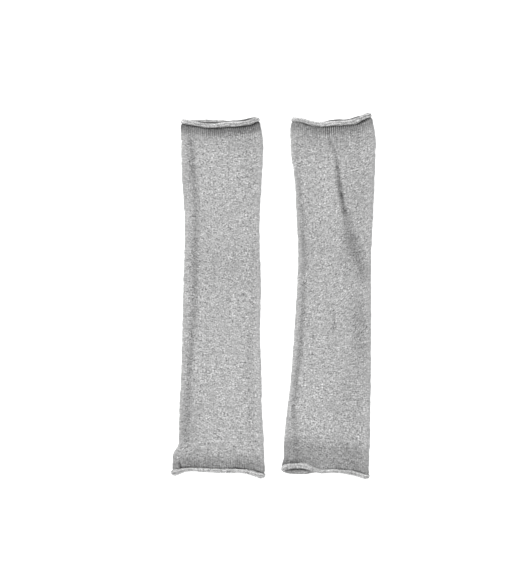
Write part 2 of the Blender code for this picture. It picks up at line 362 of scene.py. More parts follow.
RIGHT_TUBE = {
    "name": "right_leg_warmer",
    "seed": 23,
    "outline": [
        Outline(-244, 9.4, 130.3),
        Outline(-232, 9.8, 128.6),
        Outline(-219, 13.0, 129.3),
        Outline(-195, 14.0, 130.6),
        Outline(-162, 17.5, 130.8),
        Outline(-122, 22.5, 131.6),
        Outline(-73, 26.5, 131.9),
        Outline(-25, 29.5, 132.1),
        Outline(16, 32.0, 132.1),
        Outline(56, 33.4, 132.3),
        Outline(113, 30.8, 135.0),
        Outline(162, 28.0, 137.0),
        Outline(186, 24.5, 137.8),
        Outline(213, 22.6, 138.3),
        Outline(245, 24.3, 132.4),
    ],
    "top": [
        RolledEnd(0.00, 238.4, 237.4, 0.80),
        RolledEnd(0.08, 237.2, 236.0, 0.75),
        RolledEnd(0.18, 234.2, 233.0, 0.80),
        RolledEnd(0.30, 232.1, 232.0, 0.95),
        RolledEnd(0.40, 232.1, 232.6, 0.90),
        RolledEnd(0.52, 233.2, 235.2, 0.90),
        RolledEnd(0.72, 234.2, 236.0, 0.95),
        RolledEnd(0.83, 236.5, 238.6, 1.05),
        RolledEnd(0.93, 240.8, 241.6, 1.10),
        RolledEnd(1.00, 243.9, 243.4, 1.00),
    ],
    "bottom": [
        RolledEnd(0.00, -230.0, -234.8, 1.15),
        RolledEnd(0.08, -228.8, -236.3, 1.10),
        RolledEnd(0.25, -229.0, -236.3, 1.10),
        RolledEnd(0.36, -233.0, -235.0, 0.90),
        RolledEnd(0.46, -235.8, -233.6, 0.60),
        RolledEnd(0.58, -235.3, -233.4, 0.54),
        RolledEnd(0.72, -236.1, -234.4, 0.62),
        RolledEnd(0.84, -238.0, -236.4, 0.78),
        RolledEnd(0.93, -240.6, -239.2, 0.75),
        RolledEnd(1.00, -243.2, -241.5, 0.80),
    ],
    "folds": [
        [
            Fold(235, 33.0, 0.0, 3.0, 0.0, 0.00),
            Fold(160, 34.5, 0.3, 3.4, 0.3, 0.16),
            Fold(90, 40.5, 0.4, 3.4, 0.4, 0.17),
            Fold(10, 41.8, 0.4, 3.4, 0.5, 0.22),
            Fold(-60, 37.4, 0.5, 3.4, 0.7, 0.29),
            Fold(-107, 32.6, 0.5, 3.4, 0.7, 0.30),
            Fold(-155, 27.8, 0.5, 3.4, 0.6, 0.28),
            Fold(-195, 31.0, 0.3, 4.0, 0.2, 0.20),
            Fold(-235, 32.0, 0.0, 4.0, 0.0, 0.00),
        ],
        [
            Fold(240, 70.0, 0.0, 3.0, 0.0, 0.00),
            Fold(216, 75.0, 0.3, 2.4, 0.5, 0.14),
            Fold(190, 84.0, 0.5, 2.8, 1.4, 0.32),
            Fold(150, 89.4, 0.5, 3.8, 2.4, 0.55),
            Fold(113, 96.6, 0.5, 4.4, 2.0, 0.48),
            Fold(104, 98.8, 0.5, 6.4, 1.4, 0.24),
            Fold(90, 103.0, 0.5, 9.5, 0.6, 0.18),
            Fold(60, 114.0, 0.4, 12.5, 0.3, 0.13),
            Fold(30, 122.0, 0.3, 10.0, 0.3, 0.08),
            Fold(0, 124.0, 0.1, 8.0, 0.0, 0.00),
            Fold(-60, 118.0, 0.1, 8.0, 0.0, 0.00),
            Fold(-235, 112.0, 0.0, 6.0, 0.0, 0.00),
        ],
    ],
    "wrinkles": [
        Wrinkle(82.0, -16.0, 82.0, -56.0, -0.4, 2.4, 0.26),
        # A band of painted shade alone, with no height, along the crease's soft lower end.
        Wrinkle(98.0, 96.0, 124.0, 20.0, 0.0, 9.5, 0.26),
        Wrinkle(99.0, -23.0, 124.0, 0.0, 0.5, 2.2, 0.0),
        Wrinkle(96.0, -34.0, 126.0, -12.0, 0.4, 2.0, 0.0),
    ],
    "top_look": [
        EndLook(0.00, 0.00, 0.10, 0.40, 0.60),
        EndLook(0.10, 0.10, 0.20, 0.60, 0.67),
        EndLook(0.22, 0.38, 0.20, 0.70, 0.75),
        EndLook(0.34, 0.20, 0.45, 1.10, 0.84),
        EndLook(0.48, 0.50, 1.10, 1.40, 0.98),
        EndLook(0.60, 0.30, 0.90, 1.15, 0.98),
        EndLook(0.72, 0.15, 0.50, 0.90, 0.96),
        EndLook(0.86, 0.50, 0.75, 0.90, 0.93),
        EndLook(1.00, 0.10, 0.10, 0.40, 0.90),
    ],
    "bottom_look": [
        EndLook(0.00, 0.20, 0.00, 0.40, 0.40),
        EndLook(0.06, 0.25, 0.80, 0.40, 0.41),
        EndLook(0.18, 0.25, 1.00, 0.40, 0.42),
        EndLook(0.26, 0.05, 0.80, 0.30, 0.43),
        EndLook(0.33, 0.00, 0.00, 0.25, 0.43),
        EndLook(0.46, 0.05, 0.00, 0.30, 0.45),
        EndLook(0.56, 0.40, 0.00, 0.35, 0.47),
        EndLook(0.70, 0.35, 0.00, 0.35, 0.51),
        EndLook(0.88, 0.50, 0.00, 0.30, 0.56),
        EndLook(1.00, 0.10, 0.00, 0.20, 0.60),
    ],
    "end_shades": [
        EndShade("top", 0.12, 20.0, 26.0),
        EndShade("top", 0.30, 8.0, 11.0),
        EndShade("bottom", 0.30, 24.0, 24.0),
    ],
    "shadows": [
        Shadow(50.0, 195.0, 26.0, 18.0, 0.08),
        Shadow(117.0, 150.0, 20.0, 60.0, 0.11),
        Shadow(116.0, -36.0, 12.0, 42.0, 0.23),
        Shadow(106.0, -140.0, 18.0, 50.0, 0.09),
        Shadow(27.0, -223.5, 22.0, 5.0, 0.18),
        Shadow(40.0, 100.0, 14.0, 50.0, 0.07),
        Shadow(50.0, 60.0, 30.0, 24.0, 0.06),
        Shadow(97.0, 44.0, 10.0, 24.0, 0.10),
        Shadow(92.0, 208.0, 9.0, 18.0, 0.09),
        Shadow(42.0, -218.0, 16.0, 6.0, 0.07),
        Shadow(103.0, -226.0, 16.0, 6.0, 0.13),
        Shadow(124.0, -215.0, 9.0, 10.0, -0.12),
        Shadow(127.0, 228.0, 10.0, 10.0, -0.12),
        Shadow(26.0, 218.0, 8.0, 16.0, -0.12),
        Shadow(45.0, -135.0, 26.0, 60.0, -0.06),
        Shadow(122.0, -75.0, 11.0, 50.0, 0.07),
        Shadow(41.0, 48.0, 7.0, 8.0, -0.08),
    ],
    "leans": [
        Lean(-245, 0.00),
        Lean(-150, 0.06),
        Lean(-80, 0.16),
        Lean(-20, 0.38),
        Lean(40, 0.34),
        Lean(120, 0.28),
        Lean(180, 0.14),
        Lean(245, 0.00),
    ],
}


def read_table(rows, column, places):
    """Values of a table's column at the places asked for, on a smooth curve through the rows."""
    rows = sorted(rows)
    knots = np.array([row[0] for row in rows], dtype=float)
    values = np.array([getattr(row, column) for row in rows], dtype=float)
    slopes = np.gradient(values, knots)
    places = np.clip(places, knots[0], knots[-1])
    index = np.clip(np.searchsorted(knots, places) - 1, 0, len(rows) - 2)
    length = knots[index + 1] - knots[index]
    share = (places - knots[index]) / length
    start = (1 + 2 * share) * values[index] + share * length * slopes[index]
    finish = (3 - 2 * share) * values[index + 1] + (share - 1) * length * slopes[index + 1]
    return (1 - share) ** 2 * start + share**2 * finish


def mix(first, second, share):
    """The value at a share of the way from the first to the second."""
    return first + (second - first) * share


def ease_out(distance, length):
    """1 at no distance, falling smoothly to 0 at the given length."""
    share = np.clip(distance / length, 0.0, 1.0)
    return 1 - share * share * (3 - 2 * share)


def end_distance(tube, across, up, layer):
    """Distance from a layer's nearer rolled end."""
    bottom = read_table(tube["bottom"], layer, across)
    top = read_table(tube["top"], layer, across)
    return np.minimum(up - bottom, top - up)


def wander(up, start):
    """An uneven wave along a tube, from about -1 to 1, different for each start."""
    short, medium, long = WANDER_LENGTHS
    return (np.sin(up / short + start) + np.sin(up / medium + 2 * start) + np.sin(up / long)) / 2


def sides(tube, up, end_gap):
    """Outer left and right edges of the wall, drawn in at the corners by the width of the roll there."""
    tuck = 2 * ROLL_HALF_HEIGHT * ease_out(end_gap, CORNER_TUCK_LENGTH)
    left = read_table(tube["outline"], "left", up) + tuck + EDGE_RIPPLE * wander(up, tube["seed"])
    right = read_table(tube["outline"], "right", up) - tuck + EDGE_RIPPLE * wander(up, 2 * tube["seed"])
    return left, right


def layer_spacing(from_side, end_gap):
    """Spacing of the two layers: wider in the rounded side folds, narrow between the rolls."""
    loose = mix(LAYER_SPACING, SIDE_SPACING, ease_out(from_side, SIDE_BULGE_WIDTH))
    return mix(loose, END_SPACING, ease_out(end_gap, RISE_LENGTH))


def fold_relief(tube, x, up):
    """Height that the troughs and their lips add to the front layer."""
    relief = np.zeros_like(x)
    for fold in tube["folds"]:
        width = read_table(fold, "width", up)
        offset = (x - read_table(fold, "across", up)) / width
        relief -= read_table(fold, "depth", up) * np.exp(-offset * offset)
        relief += read_table(fold, "lip", up) * np.exp(-((offset + LIP_OFFSET) ** 2))
    return relief


def line_share(line, x, up):
    """How near points lie to a wrinkle: 1 on its middle line, fading out aside and towards its ends."""
    run = np.array((line.x1 - line.x0, line.up1 - line.up0))
    length = math.hypot(*run)
    along = ((x - line.x0) * run[0] + (up - line.up0) * run[1]) / length
    aside = ((x - line.x0) * run[1] - (up - line.up0) * run[0]) / length
    beyond = (along - length / 2) / (length / 2)
    return np.exp(-((aside / line.width) ** 2) - beyond**4)


def wrinkle_relief(tube, x, up):
    """Height of the small wrinkles."""
    return sum(line.height * line_share(line, x, up) for line in tube["wrinkles"])


def front_shade(tube, x, up):
    """Share of light that the front layer's troughs, wrinkles and soft patches lose."""
    shade = sum(line.shade * line_share(line, x, up) for line in tube["wrinkles"])
    uneven = 1 + FOLD_UNEVENNESS * wander(up, tube["seed"])
    for fold in tube["folds"]:
        offset = (x - read_table(fold, "across", up)) / read_table(fold, "width", up)
        shade = shade + read_table(fold, "shade", up) * uneven * np.exp(-offset * offset)
    for patch in tube["shadows"]:
        distance = ((x - patch.x) / patch.width) ** 2 + ((up - patch.up) / patch.height) ** 2
        shade = shade + patch.depth * np.exp(-distance)
    return shade


def share_across(x):
    """How far points lie across their own row of the tube, from its left edge (0) to its right (1)."""
    left, right = x.min(axis=1, keepdims=True), x.max(axis=1, keepdims=True)
    return (x - left) / (right - left)


def end_shade(tube, across, course):
    """Share of light that the right side loses beside the rolls, in soft bands and a dark line."""
    shade = 0
    from_bottom = course * COURSE_LENGTH
    from_top = (BODY_COURSES - course) * COURSE_LENGTH
    for end, distance in (("bottom", from_bottom), ("top", from_top)):
        for band in tube["end_shades"]:
            if band.end == end:
                shade = shade + band.depth * ease_out(np.maximum(distance - band.full, 0), band.fading)
        roll_edge = ROLL_HALF_WIDTH * read_table(tube[end], "roll", across) + WALL / 2
        beyond = np.maximum(distance - roll_edge, 0)
        depth = read_table(tube[end + "_look"], "contact", across)
        depth = depth * (1 + CONTACT_UNEVENNESS * wander(CONTACT_RUN * across, tube["seed"]))
        shade = shade + depth * np.exp(-((beyond / CONTACT_WIDTH) ** 2))
    return shade


def gap_shade(tube, wall):
    """Share of light lost in the gap between the front and the back roll, on both of its sides."""
    across = share_across(wall.points[..., 0])
    shade = 0
    for end, heading, past in (("bottom", -1, -wall.course), ("top", 1, wall.course - BODY_COURSES)):
        reach = ROLL_HALF_WIDTH * read_table(tube[end], "roll", across) + WALL / 2
        front_edge = read_table(tube[end], "front", across) + heading * reach
        beyond = heading * (wall.points[..., 1] - front_edge)
        on_front = (beyond + GAP_INSET) / GAP_EDGE_WIDTH
        on_back = np.maximum(beyond, 0) / GAP_WIDTH
        offset = np.where(wall.front, on_front, on_back)
        depth = read_table(tube[end + "_look"], "gap", across) * (past > -GAP_COURSES)
        depth = depth * np.where(wall.front, GAP_EDGE_SHARE, 1.0)
        shade = shade + depth * np.exp(-offset * offset)
    return shade


def layer_points(tube, across, along, layer):
    """Points of the front or back layer, in the middle of its wall."""
    up = mix(read_table(tube["bottom"], layer, across), read_table(tube["top"], layer, across), along)
    end_gap = end_distance(tube, across, up, layer)
    left, right = sides(tube, up, end_gap)
    inset = (WALL + layer_spacing(0.0, end_gap)) / 2
    x = mix(left + inset, right - inset, across)
    rise = 2 * ROLL_HALF_HEIGHT * ease_out(end_distance(tube, across, up, "back"), RISE_LENGTH)
    z = WALL / 2 + rise
    if layer == "front":
        from_side = np.minimum(x - left, right - x) - inset
        z = z + layer_spacing(from_side, end_gap) + fold_relief(tube, x, up) + wrinkle_relief(tube, x, up)
    return np.stack((x, up, z), axis=-1)


def wall_columns():
    """The columns round a tube: the back left to right, a side, the front right to left, the other side."""
    side_steps = SIDE_WALES * WALE_COLUMNS
    front_steps = LAYER_WALES * WALE_COLUMNS
    side_turns = math.pi * np.arange(1, side_steps) / side_steps
    back = np.linspace(0, 1, LAYER_WALES + 1)
    front = np.linspace(1, 0, front_steps + 1)
    right = np.ones(side_steps - 1)
    across = np.concatenate((back, right, front, 0 * right))
    turn = np.concatenate((0 * back, side_turns, 0 * front + math.pi, side_turns[::-1]))
    outward = np.concatenate((0 * back, right, 0 * front, -right))
    side_wales = SIDE_WALES * np.arange(1, side_steps) / side_steps
    first_front = LAYER_WALES + SIDE_WALES
    wale = np.concatenate((
        back * LAYER_WALES,
        LAYER_WALES + side_wales,
        first_front + (1 - front) * LAYER_WALES,
        first_front + LAYER_WALES + side_wales,
    ))
    return Columns(across, turn, outward, wale)


def slant(wale):
    """How far a stitch's two legs rise from its middle to the grooves beside it, in courses."""
    return KNIT_SLANT * np.abs(2 * (wale % 1.0) - 1)


def body_points(tube, courses):
    """The middle of the wall between the rolls, a row for each course value, and its course coordinates."""
    columns = wall_columns()
    near_end = np.minimum(courses, BODY_COURSES - courses)[:, None]
    shift = slant(columns.wale) * np.clip(near_end / SLANT_FADE_COURSES, 0, 1)
    course = courses[:, None] + shift
    along = np.clip(course / BODY_COURSES, 0, 1)
    share = np.broadcast_to(columns.across, along.shape)
    back = layer_points(tube, share, along, "back")
    front = layer_points(tube, share, along, "front")
    points = mix(back, front, ((1 - np.cos(columns.turn)) / 2)[:, None])
    reach = (front[..., 2] - back[..., 2]) / 2
    points[..., 0] += columns.outward * np.sin(columns.turn) * reach
    return points, course


def rolled_rows(tube, end, ring, heading):
    """Rows that carry the wall outwards and round on itself beyond an end of the tube."""
    run = np.roll(ring, -1, axis=0) - np.roll(ring, 1, axis=0)
    length = np.hypot(run[:, 0], run[:, 2])
    way = np.stack((run[:, 2], 0 * length, -run[:, 0]), axis=-1) / length[:, None]
    left, right = sides(tube, ring[:, 1], 0.0)
    widening = read_table(tube[end], "roll", (ring[:, 0] - left) / (right - left))
    width = ROLL_HALF_WIDTH * mix(1.0, widening, np.maximum(way[:, 2], 0))
    width = width * (1 + ROLL_RIPPLE * wander(ring[:, 0], tube["seed"] + heading))
    full_turn = mix(ROLL_TURN, SIDE_ROLL_TURN, way[:, 0] ** 2)
    rows = []
    for step in range(1, ROLL_ROWS + 1):
        turn = full_turn * step / ROLL_ROWS
        row = ring + ROLL_HALF_HEIGHT * (1 - np.cos(turn))[:, None] * way
        row[:, 1] += heading * width * np.sin(turn)
        rows.append(row)
    return np.array(rows)


def wall_grid(tube):
    """The middle of the whole wall, from one free edge to the other, with each point's course coordinate."""
    courses = np.arange(BODY_COURSES * COURSE_ROWS + 1) / COURSE_ROWS
    body, course = body_points(tube, courses)
    bottom = rolled_rows(tube, "bottom", body[0], -1)
    top = rolled_rows(tube, "top", body[-1], 1)
    roll_courses = np.arange(1, len(top) + 1)[:, None] / ROLL_COURSE_ROWS + 0 * course[:1]
    points = np.concatenate((bottom[::-1], body, top))
    course = np.concatenate((-roll_courses[::-1], course, BODY_COURSES + roll_courses))
    return points, course


def outward_normals(points):
    """Unit normals of the wall, out of the tube."""
    round_tube = np.roll(points, -1, axis=1) - np.roll(points, 1, axis=1)
    along_tube = np.gradient(points, axis=0)
    normals = np.cross(along_tube, round_tube)
    return normals / np.linalg.norm(normals, axis=-1, keepdims=True)


def past_end(course):
    """Courses beyond the nearer end of the body, less than 0 between the rolls."""
    return np.maximum(-course, course - BODY_COURSES)


def pulled(tube, across, wale, course):
    """How far the cloth is pulled along: most at the rolls, falling to 0 in the body."""
    lengths = np.random.default_rng(tube["seed"]).uniform(-1, 1, WALES)
    length = PULLED_LENGTH * (1 + PULLED_UNEVENNESS * lengths[np.floor(wale).astype(int) % WALES])
    pull = 0
    for end, distance in (("bottom", course), ("top", BODY_COURSES - course)):
        to_roll = np.maximum(distance * COURSE_LENGTH, 0)
        pull = pull + read_table(tube[end + "_look"], "ribs", across) * ease_out(to_roll, length)
    return pull


def unevenness(tube, wale, course):
    """A factor for each stitch, since no two are pulled alike."""
    random = np.random.default_rng(tube["seed"])
    factors = 1 + STITCH_UNEVENNESS * random.standard_normal((BODY_COURSES + 4 * ROLL_COURSES, WALES))
    row = np.floor(course).astype(int) + 2 * ROLL_COURSES
    column = np.floor(wale).astype(int) % WALES
    return np.clip(factors, LEAST_STITCH, MOST_STITCH)[row, column]


def knit_relief(tube, wale, course, pull):
    """Height of the stitches' V legs on the right side of the jersey, none on the layer underneath."""
    place = wale % 1.0
    leg = np.abs(np.sin(2 * math.pi * place))
    swell = 1 - LEG_SWELL + LEG_SWELL * np.cos(2 * math.pi * (course - slant(wale)))
    stitch = leg * swell + STITCH_FILL * (1 - np.abs(2 * place - 1)) * (1 - leg)
    rib = 0.5 - 0.5 * np.cos(2 * math.pi * place)
    uneven = unevenness(tube, wale, course)
    loose = KNIT_DEPTH * (stitch * uneven - STITCH_LEVEL)
    tight = RIB_DEPTH * (rib * mix(1.0, uneven, RIB_UNEVENNESS) - RIB_LEVEL)
    shown = (wale > LAYER_WALES) & (course > 0) & (course < BODY_COURSES)
    from_front = np.maximum(LAYER_WALES + SIDE_WALES - wale, wale - (WALES - SIDE_WALES))
    strength = mix(SIDE_RELIEF, 1.0, ease_out(from_front, SIDE_RELIEF_WALES))
    return shown * mix(loose, tight, pull) * strength


def purl_relief(tube, wale, course):
    """Height of the ridges on the wrong side of the jersey, which shows on the rolls."""
    beyond = past_end(course)
    wave = np.sin(RIDGE_WAVE * wale + tube["seed"]) + RIDGE_SECOND_SHARE * np.sin(RIDGE_SECOND_WAVE * wale)
    shift = RIDGE_START + RIDGE_DRIFT * wave + RIDGE_BOW * np.cos(2 * math.pi * wale)
    arch = 0.5 + 0.5 * np.cos(2 * math.pi * (beyond - shift))
    height = mix(1.0, unevenness(tube, wale, course), RIDGE_UNEVENNESS)
    return PURL_DEPTH * (beyond > -1) * (arch * height - RIDGE_LEVEL)


def closed_round(grid):
    """The grid with its first column once more after its last."""
    return np.concatenate((grid, grid[:, :1]), axis=1)


def quad_corners(grid, flipped):
    """The values at the four corners of each quad between a grid's neighbouring rows and columns."""
    quads = np.stack((grid[:-1, :-1], grid[:-1, 1:], grid[1:, 1:], grid[1:, :-1]), axis=-1).reshape(-1, 4)
    return quads[:, ::-1] if flipped else quads


def inside_rows(row_count):
    """Rows that the wrong side keeps: all of the rolls, and fewer between them, crowded towards the ends."""
    last = row_count - 1
    shares = np.arange(INSIDE_ROWS + 1) / INSIDE_ROWS
    shares = shares - INSIDE_CROWDING * np.sin(2 * math.pi * shares) / (2 * math.pi)
    body = ROLL_ROWS + np.round(shares * (last - 2 * ROLL_ROWS)).astype(int)
    at_end = ROLL_ROWS + INSIDE_END_ROWS
    return np.unique(np.concatenate((np.arange(at_end + 1), body, np.arange(last - at_end, last + 1))))


def yarn_lean(tube, points):
    """How many courses the yarn's rows have risen at each point, from the middle of the tube."""
    x, up = points[..., 0], points[..., 1]
    middle = (x.min(axis=1, keepdims=True) + x.max(axis=1, keepdims=True)) / 2
    return read_table(tube["leans"], "rise", up) * (x - middle) / COURSE_LENGTH


def wall_patches(tube, wall, kept):
    """The four patches of a closed wall: right side, wrong side and the two free edges."""
    course = wall.course
    lean = yarn_lean(tube, wall.points)
    columns = course.shape[1]
    outer = np.arange(course.size).reshape(-1, columns)
    inner = course.size + np.arange(len(kept) * columns).reshape(-1, columns)
    bottom_edge = np.stack((outer[0], inner[0]))
    bottom_course = np.stack((course[0], course[0] - EDGE_COURSES))
    top_edge = np.stack((outer[-1], inner[-1]))
    top_course = np.stack((course[-1], course[-1] + EDGE_COURSES))
    return [
        Patch(outer, course, lean, OUTSIDE_SHEET, True),
        Patch(inner, course[kept], lean[kept], INSIDE_SHEET, False),
        Patch(bottom_edge, bottom_course, lean[:1], BOTTOM_EDGE_SHEET, False),
        Patch(top_edge, top_course, lean[-1:], TOP_EDGE_SHEET, True),
    ]


def patch_maps(patch, wale):
    """Stitch coordinates and places on the bake's sheet, for each corner of a patch's quads."""
    wale = np.append(wale, WALES) + np.zeros((len(patch.course), 1))
    course = closed_round(patch.course)
    leaning = course - closed_round(patch.lean)
    sheet = patch.sheet
    across = mix(sheet.left, sheet.right, wale / WALES)
    low, high = course.min(), course.max()
    along = mix(sheet.low, sheet.high, (course - low) / (high - low))
    maps = [quad_corners(grid, patch.flipped).ravel() for grid in (wale, leaning, across, along)]
    return np.stack(maps[:2], axis=-1), np.stack(maps[2:], axis=-1)


def add_uv_map(mesh, name, places):
    """A UV map with a place for each corner of each face."""
    layer = mesh.uv_layers.new(name=name)
    layer.uv.foreach_set("vector", places.astype(np.float32).ravel())


def add_number(mesh, name, values):
    """An attribute with a number for each point, which the material reads."""
    attribute = mesh.attributes.new(name, "FLOAT", "POINT")
    attribute.data.foreach_set("value", values.astype(np.float32).ravel())


def build_quads(mesh, corners, quads):
    """Fills an empty mesh with smooth quads."""
    mesh.vertices.add(len(corners))
    mesh.vertices.foreach_set("co", corners.astype(np.float32).ravel())
    mesh.loops.add(quads.size)
    mesh.loops.foreach_set("vertex_index", quads.astype(np.int32).ravel())
    mesh.polygons.add(len(quads))
    mesh.polygons.foreach_set("loop_start", np.arange(0, quads.size, 4, dtype=np.int32))
    mesh.polygons.foreach_set("use_smooth", np.ones(len(quads), dtype=bool))
    mesh.update(calc_edges=True)


def rolled_over(course):
    """1 on the rolls and 0 between them, changing over one course."""
    return np.clip(past_end(course) + 0.5, 0, 1)


def outside_light(tube, wall):
    """Painted light of the right side: painted shade in its grooves, in its folds and beside the rolls."""
    x, up = wall.points[..., 0], wall.points[..., 1]
    at_ends = end_shade(tube, share_across(x), wall.course) * (1 - rolled_over(wall.course))
    light = np.maximum(1 - at_ends - front_shade(tube, x, up) * wall.front, LEAST_LIGHT)
    contrast = mix(RELIEF_CONTRAST, PULLED_CONTRAST, wall.pull)
    return light * (1 + contrast * wall.knit / KNIT_DEPTH)


def inside_light(tube, wall):
    """Painted light of the wrong side: ridged on the rolls, and shaded in the gaps and inside the open ends.
    """
    across = share_across(wall.points[..., 0])
    top_strands = read_table(tube["top_look"], "strands", across)
    bottom_strands = read_table(tube["bottom_look"], "strands", across)
    strands = np.where(wall.course > BODY_COURSES / 2, top_strands, bottom_strands)
    ridges = 1 + PURL_CONTRAST * strands * wall.purl / PURL_DEPTH
    light = 1 - np.where(wall.front, 0, BACK_ROLL_SHADE) - gap_shade(tube, wall)
    mouth = ease_out(past_end(wall.course) + MOUTH_COURSES - MOUTH_EDGE, MOUTH_COURSES)
    return ridges * np.maximum(light, LEAST_GAP_LIGHT) * (1 - MOUTH_SHADE * mouth)


def mottling(wall):
    """How strong the heather is: calmer where the cloth is pulled, on the rolls and at the sides."""
    x = wall.points[..., 0]
    from_side = np.minimum(x - x.min(axis=1, keepdims=True), x.max(axis=1, keepdims=True) - x)
    calm = PULLED_CALM * wall.pull + SIDE_CALM * ease_out(from_side, SIDE_CALM_WIDTH)
    return 1 - mix(np.minimum(calm, MOST_CALM), ROLL_CALM, rolled_over(wall.course))


def dressed_wall(tube, points, course):
    """The wall with how far it is pulled and the relief of both its sides."""
    wale = np.broadcast_to(wall_columns().wale, course.shape)
    pull = pulled(tube, share_across(points[..., 0]), wale, course)
    knit = knit_relief(tube, wale, course, pull)
    purl = purl_relief(tube, wale, course)
    return Wall(points, course, wale, wale > LAYER_WALES, pull, knit, purl)


def wall_corners(wall, kept, middle):
    """The mesh's points, in millimetres: the whole right side, then the rows that the wrong side keeps."""
    normals = outward_normals(wall.points)
    outside = wall.points + normals * (WALL / 2 + wall.knit)[..., None]
    inside = wall.points - normals * (WALL / 2 + wall.purl)[..., None]
    corners = np.concatenate((outside.reshape(-1, 3), inside[kept].reshape(-1, 3))) - middle
    corners[:, 2] = np.maximum(corners[:, 2], 0.0)
    return corners


def add_tones(mesh, tube, wall, kept):
    """The numbers that the material reads: light, strength of the mottling, and where no stitch is raised."""
    rolled = rolled_over(wall.course)
    calm = mottling(wall)
    tones = {
        "light": (outside_light(tube, wall), inside_light(tube, wall)),
        "mottling": (calm, calm),
        "plain": (np.where(wall.front, 0.0, 1.0) * (1 - rolled), 1 - rolled),
    }
    for name, (outside, inside) in tones.items():
        add_number(mesh, name, np.concatenate((outside.ravel(), inside[kept].ravel())))


def wall_mesh(tube, wall, middle):
    """One closed mesh of the wall, with fewer rows on its wrong side between the rolls."""
    kept = inside_rows(len(wall.points))
    patches = wall_patches(tube, wall, kept)
    quads = [quad_corners(closed_round(patch.indices), patch.flipped) for patch in patches]
    stitches, bake = zip(*[patch_maps(patch, wall.wale[0]) for patch in patches])
    mesh = bpy.data.meshes.new(tube["name"] + "_jersey")
    build_quads(mesh, wall_corners(wall, kept, middle) * MM, np.concatenate(quads))
    add_uv_map(mesh, "Stitch", np.concatenate(stitches))
    add_uv_map(mesh, "OFBake", np.concatenate(bake))
    add_tones(mesh, tube, wall, kept)
    return mesh


def node(tree, kind, **settings):
    """A shader node with its own properties set."""
    made = tree.nodes.new(kind)
    for name, value in settings.items():
        setattr(made, name, value)
    return made


def feed(tree, value, socket):
    """Links an output to a socket, or sets the socket to a plain value."""
    if isinstance(value, bpy.types.NodeSocket):
        tree.links.new(value, socket)
    else:
        socket.default_value = value


def calculate(tree, operation, first, second=0.0, third=0.0):
    """The output of a Math node."""
    made = node(tree, "ShaderNodeMath", operation=operation)
    for value, socket in zip((first, second, third), made.inputs):
        feed(tree, value, socket)
    return made.outputs["Value"]


def scaled(tree, vector, scale, location):
    """The vector scaled and moved."""
    made = node(tree, "ShaderNodeMapping")
    feed(tree, vector, made.inputs["Vector"])
    made.inputs["Scale"].default_value = scale
    made.inputs["Location"].default_value = location
    return made.outputs["Vector"]


def noise(tree, vector, detail, roughness=0.5):
    """Smooth noise about 0, from roughly -1 to 1."""
    made = node(tree, "ShaderNodeTexNoise", noise_dimensions="3D")
    feed(tree, vector, made.inputs["Vector"])
    made.inputs["Scale"].default_value = 1.0
    made.inputs["Detail"].default_value = detail
    made.inputs["Roughness"].default_value = roughness
    return calculate(tree, "MULTIPLY_ADD", made.outputs["Fac"], NOISE_SPREAD, -NOISE_SPREAD / 2)


def number(tree, name):
    """The output of one of the mesh's own numbers."""
    return node(tree, "ShaderNodeAttribute", attribute_name=name).outputs["Fac"]


def heather_tone(tree, stitch, offset):
    """Brightness of the cloth: mixed fibres along the yarn, single flecks, and broad cloudiness."""
    yarn = noise(tree, scaled(tree, stitch, YARN_SCALE, (offset, 0.0, 0.0)), YARN_DETAIL, YARN_ROUGHNESS)
    fleck = noise(tree, scaled(tree, stitch, FLECK_SCALE, (0.0, offset, FLECK_PLACE)), FLECK_DETAIL)
    cloud = noise(tree, scaled(tree, stitch, CLOUD_SCALE, (offset, offset, CLOUD_PLACE)), CLOUD_DETAIL)
    white = calculate(tree, "MAXIMUM", calculate(tree, "SUBTRACT", fleck, WHITE_FLECK_START), 0.0)
    mixed = calculate(tree, "MULTIPLY", yarn, YARN_CONTRAST)
    mixed = calculate(tree, "MULTIPLY_ADD", fleck, FLECK_CONTRAST, mixed)
    mixed = calculate(tree, "MULTIPLY_ADD", white, WHITE_FLECK_CONTRAST, mixed)
    strength = calculate(tree, "MULTIPLY_ADD", cloud, CLOUD_CALM, 1.0)
    strength = calculate(tree, "MULTIPLY", strength, number(tree, "mottling"))
    tone = calculate(tree, "MULTIPLY_ADD", mixed, strength, 1.0)
    return calculate(tree, "MULTIPLY_ADD", cloud, CLOUD_CONTRAST, tone)


def stitch_height(tree, stitch):
    """Height of the V stitches, 0 to 1, for where the mesh has none."""
    parts = node(tree, "ShaderNodeSeparateXYZ")
    feed(tree, stitch, parts.inputs["Vector"])
    wale, course = parts.outputs["X"], parts.outputs["Y"]
    turn = calculate(tree, "MULTIPLY", wale, 2 * math.pi)
    leg = calculate(tree, "ABSOLUTE", calculate(tree, "SINE", turn))
    groove = calculate(tree, "PINGPONG", wale, 0.5)
    slanted = calculate(tree, "MULTIPLY_ADD", groove, 2 * KNIT_SLANT, course)
    swell = calculate(tree, "COSINE", calculate(tree, "MULTIPLY", slanted, 2 * math.pi))
    return calculate(tree, "MULTIPLY", leg, calculate(tree, "MULTIPLY_ADD", swell, LEG_SWELL, 1 - LEG_SWELL))


def surface_height(tree, stitch, offset):
    """Height for the bump, in stitch depths: fibres everywhere, and stitches where the mesh is plain."""
    place = scaled(tree, stitch, FIBRE_SCALE, (offset, 0.0, 0.0))
    fibres = noise(tree, place, FIBRE_DETAIL, FIBRE_ROUGHNESS)
    stitches = calculate(tree, "MULTIPLY", stitch_height(tree, stitch), number(tree, "plain"))
    return calculate(tree, "MULTIPLY_ADD", fibres, FIBRE_RELIEF, stitches)


